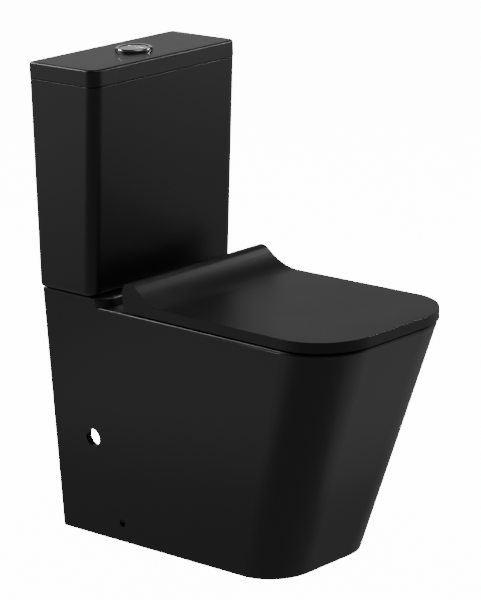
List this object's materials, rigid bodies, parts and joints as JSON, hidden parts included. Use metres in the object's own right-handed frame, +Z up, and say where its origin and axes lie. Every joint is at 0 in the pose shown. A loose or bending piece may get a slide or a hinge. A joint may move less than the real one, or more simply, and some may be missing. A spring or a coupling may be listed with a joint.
{
  "type": "close coupled toilet",
  "caption": "Close coupled black toilet with a skirted pan, tapered cistern, split flush button and a slim wrap-over soft-close seat.",
  "frame": {"origin": "middle of the footprint on the floor; the wall plane is Y = +0.3275 m", "axes": "+Z up, the toilet faces -Y, X is its left-right symmetry direction"},
  "size_m": [0.3452, 0.655, 0.8358],
  "materials": {
    "glazed_black": "satin matt black glaze",
    "seat_plastic": "satin black moulded",
    "chrome_trim": "polished",
    "rubber_parts": "moulded",
    "steel_fixings": "zinc plated",
    "valve_plastic": "moulded white"
  },
  "bodies": {
    "base": {"pan": "glazed_black", "pan_bowl": "glazed_black", "pan_trap": "glazed_black", "pan_spigot": "glazed_black", "pan_duct": "glazed_black", "cistern": "glazed_black", "doughnut_gasket": "rubber_parts", "coupling_seals": "rubber_parts", "coupling_bolts": "steel_fixings", "coupling_washers": "steel_fixings", "coupling_nuts": "steel_fixings", "flush_base_washer": "rubber_parts", "flush_valve_base": "valve_plastic", "flush_backnut": "valve_plastic", "flush_valve_tower": "valve_plastic", "lever_pin": "steel_fixings", "fill_valve_riser": "valve_plastic", "fill_washer": "rubber_parts", "fill_backnut": "valve_plastic", "fill_valve_head": "valve_plastic", "hinge_posts": "chrome_trim", "hinge_pins": "steel_fixings", "hinge_bolts": "steel_fixings", "hinge_washers": "steel_fixings", "hinge_nuts": "steel_fixings"},
    "cistern_lid": {"cistern_lid": "glazed_black", "button_bezel": "chrome_trim", "button_lock_nut": "valve_plastic"},
    "full_button": {"button_full": "chrome_trim", "push_rod_full": "valve_plastic"},
    "half_button": {"button_half": "chrome_trim", "push_rod_half": "valve_plastic"},
    "full_lever": {"lever_full": "valve_plastic"},
    "half_lever": {"lever_half": "valve_plastic"},
    "flush_tube": {"overflow_tube": "valve_plastic", "flush_seal": "rubber_parts"},
    "float": {"fill_valve_float": "valve_plastic"},
    "seat_ring": {"seat_ring": "seat_plastic", "ring_buffers": "rubber_parts"},
    "seat_lid": {"seat_lid": "seat_plastic", "lid_eyes": "seat_plastic", "lid_buffers": "rubber_parts"}
  },
  "joints": [
    {"name": "cistern_lid_lift", "type": "slide", "parent": "base", "child": "cistern_lid", "axis": [0, 0, 1], "range_m": [0, 0.12]},
    {"name": "full_flush_press", "type": "slide", "parent": "cistern_lid", "child": "full_button", "axis": [0, 0, -1], "range_m": [0, 0.005], "stiffness_N_per_m": 500, "springref_m": -0.006},
    {"name": "half_flush_press", "type": "slide", "parent": "cistern_lid", "child": "half_button", "axis": [0, 0, -1], "range_m": [0, 0.005], "stiffness_N_per_m": 500, "springref_m": -0.006},
    {"name": "full_lever_tilt", "type": "hinge", "parent": "base", "child": "full_lever", "pos_m": [-0.017, 0.257, 0.64], "axis": [1, 0, 0], "range_deg": [0, 20]},
    {"name": "half_lever_tilt", "type": "hinge", "parent": "base", "child": "half_lever", "pos_m": [0.017, 0.257, 0.64], "axis": [1, 0, 0], "range_deg": [0, 20]},
    {"name": "flush_tube_lift", "type": "slide", "parent": "base", "child": "flush_tube", "axis": [0, 0, 1], "range_m": [0, 0.0065]},
    {"name": "float_drop", "type": "slide", "parent": "base", "child": "float", "axis": [0, 0, -1], "range_m": [0, 0.016]},
    {"name": "seat_ring_hinge", "type": "hinge", "parent": "base", "child": "seat_ring", "pos_m": [0, 0.1145, 0.452], "axis": [1, 0, 0], "range_deg": [-96, 0]},
    {"name": "seat_lid_hinge", "type": "hinge", "parent": "seat_ring", "child": "seat_lid", "pos_m": [0, 0.1145, 0.452], "axis": [-1, 0, 0], "range_deg": [0, 98]}
  ],
  "couplings": [
    {"joint": "full_lever_tilt", "follows": "full_flush_press", "rad_per_m": 69},
    {"joint": "flush_tube_lift", "follows": "full_flush_press", "ratio": 1.24},
    {"joint": "half_lever_tilt", "follows": "half_flush_press", "rad_per_m": 69}
  ]
}
